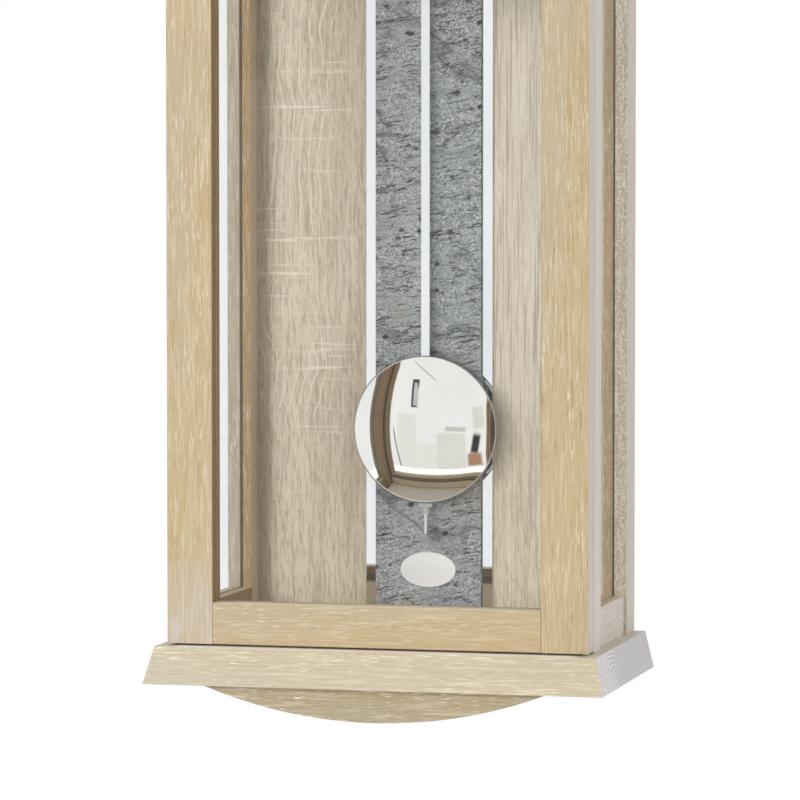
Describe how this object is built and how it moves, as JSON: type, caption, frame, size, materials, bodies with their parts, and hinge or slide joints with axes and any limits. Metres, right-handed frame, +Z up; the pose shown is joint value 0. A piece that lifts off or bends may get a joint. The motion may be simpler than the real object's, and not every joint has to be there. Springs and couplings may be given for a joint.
{
  "type": "regulator wall clock",
  "caption": "Upright wall clock in a limed oak case with glazed door and sides, a slate strip on a mirror behind the pendulum, round dial, and a spring-driven movement.",
  "frame": {"origin": "centre of the hanger hole, on the wall plane", "axes": "+Z up; -Y towards the viewer, out of the clock's front; +X to the viewer's right"},
  "size_m": [0.327, 0.19, 0.7785],
  "materials": {
    "limed_oak": "limed and waxed oak, white lime in the pores",
    "back_boards": "limed oak boards, upright grain",
    "window_glass": "clear polished glass",
    "mirror": "silvered mirror",
    "slate": "grey slate, split face with pale streaks",
    "enamel": "blank white enamel",
    "steel": "bright steel",
    "magnet": "plated magnet",
    "brass": "brushed clock brass",
    "dial": "silvered white lacquer",
    "nickel": "polished nickel",
    "dark_marks": "black lacquer",
    "spring_steel": "blued spring steel",
    "bob_iron": "plain iron"
  },
  "bodies": {
    "case": {"plinth": "limed_oak", "apron": "limed_oak", "cornice": "limed_oak", "left_front_post": "limed_oak", "right_front_post": "limed_oak", "side_rails": "limed_oak", "side_glass": "window_glass", "left_back_stile": "limed_oak", "right_back_stile": "limed_oak", "back_top_rail": "limed_oak", "back_bottom_rail": "limed_oak", "back_panel": "back_boards", "mirror_strip": "mirror", "slate_strip": "slate", "oval_plate": "enamel", "hanger_plate": "steel", "case_screws": "steel", "panel_screws": "steel", "pivot_pins": "steel", "catch_magnet": "magnet", "front_plate": "brass", "rear_plate": "brass", "plate_pillars": "brass", "plate_screws": "steel", "movement_posts": "brass", "suspension_cock": "brass", "dial_plate": "dial", "dial_bezel": "nickel", "hour_marks": "dark_marks"},
    "door": {"door_left_stile": "limed_oak", "door_right_stile": "limed_oak", "door_top_rail": "limed_oak", "door_bottom_rail": "limed_oak", "door_glass": "window_glass", "glazing_beads": "limed_oak", "strike_disc": "steel"},
    "centre_arbor": {"centre_wheel": "brass", "centre_arbor": "steel", "cannon_pinion": "steel", "minute_hand": "dark_marks", "hand_nut": "brass"},
    "hour_wheel": {"hour_wheel": "brass", "hour_hand": "dark_marks"},
    "minute_wheel": {"minute_wheel": "brass"},
    "barrel": {"barrel": "brass", "mainspring": "spring_steel"},
    "second_wheel": {"second_wheel": "brass"},
    "third_wheel": {"third_wheel": "brass"},
    "escape_wheel": {"escape_wheel": "brass"},
    "winding_arbor": {"winding_arbor": "steel", "ratchet_wheel": "steel"},
    "click": {"click": "steel"},
    "pendulum": {"suspension_spring": "brass", "pendulum_rod": "nickel"},
    "anchor": {"anchor": "steel", "crutch": "steel"},
    "bob": {"bob_shell": "nickel", "bob_weight": "bob_iron", "bob_back": "nickel"},
    "rating_nut": {"rating_nut": "nickel"}
  },
  "joints": [
    {"name": "door_hinge", "type": "hinge", "parent": "case", "child": "door", "pos_m": [0.1465, -0.165, -0.3315], "axis": [0, 0, 1], "range_deg": [0, 180]},
    {"name": "centre_arbor_spin", "type": "hinge", "parent": "case", "child": "centre_arbor", "pos_m": [0, -0.05, -0.123], "axis": [0, 1, 0], "continuous": true},
    {"name": "hour_wheel_spin", "type": "hinge", "parent": "case", "child": "hour_wheel", "pos_m": [0, -0.08, -0.123], "axis": [0, 1, 0], "continuous": true},
    {"name": "minute_wheel_spin", "type": "hinge", "parent": "case", "child": "minute_wheel", "pos_m": [-0.01039, -0.08, -0.117], "axis": [0, 1, 0], "continuous": true},
    {"name": "barrel_spin", "type": "hinge", "parent": "case", "child": "barrel", "pos_m": [0, -0.05, -0.173], "axis": [0, 1, 0], "continuous": true},
    {"name": "second_wheel_spin", "type": "hinge", "parent": "case", "child": "second_wheel", "pos_m": [-0.01552, -0.05, -0.14052], "axis": [0, 1, 0], "continuous": true},
    {"name": "third_wheel_spin", "type": "hinge", "parent": "case", "child": "third_wheel", "pos_m": [0.0179, -0.05, -0.11021], "axis": [0, 1, 0], "continuous": true},
    {"name": "escape_wheel_spin", "type": "hinge", "parent": "case", "child": "escape_wheel", "pos_m": [0, -0.05, -0.099], "axis": [0, 1, 0], "continuous": true},
    {"name": "winding_arbor_spin", "type": "hinge", "parent": "case", "child": "winding_arbor", "pos_m": [0, -0.05, -0.173], "axis": [0, 1, 0], "continuous": true},
    {"name": "click_lift", "type": "hinge", "parent": "case", "child": "click", "pos_m": [-0.017, -0.078, -0.164], "axis": [0, 1, 0], "range_deg": [-15, 0]},
    {"name": "pendulum_swing", "type": "hinge", "parent": "case", "child": "pendulum", "pos_m": [0, -0.025, -0.08203], "axis": [0, 1, 0], "range_deg": [-2, 2]},
    {"name": "anchor_rock", "type": "hinge", "parent": "case", "child": "anchor", "pos_m": [0, -0.05, -0.08203], "axis": [0, 1, 0], "range_deg": [-2, 2]},
    {"name": "bob_height", "type": "slide", "parent": "pendulum", "child": "bob", "axis": [0, 0, 1], "range_m": [-0.01, 0.01]},
    {"name": "rating_nut_turn", "type": "hinge", "parent": "bob", "child": "rating_nut", "pos_m": [0, -0.025, -0.59503], "axis": [0, 0, 1], "range_deg": [-7200, 7200]}
  ],
  "couplings": [
    {"joint": "hour_wheel_spin", "follows": "centre_arbor_spin", "ratio": 0.083333},
    {"joint": "minute_wheel_spin", "follows": "centre_arbor_spin", "ratio": -0.33333},
    {"joint": "barrel_spin", "follows": "centre_arbor_spin", "ratio": 0.028571},
    {"joint": "second_wheel_spin", "follows": "centre_arbor_spin", "ratio": -0.2},
    {"joint": "third_wheel_spin", "follows": "centre_arbor_spin", "ratio": -9},
    {"joint": "escape_wheel_spin", "follows": "centre_arbor_spin", "ratio": 90},
    {"joint": "anchor_rock", "follows": "pendulum_swing", "ratio": 1},
    {"joint": "rating_nut_turn", "follows": "bob_height", "rad_per_m": 12566}
  ]
}
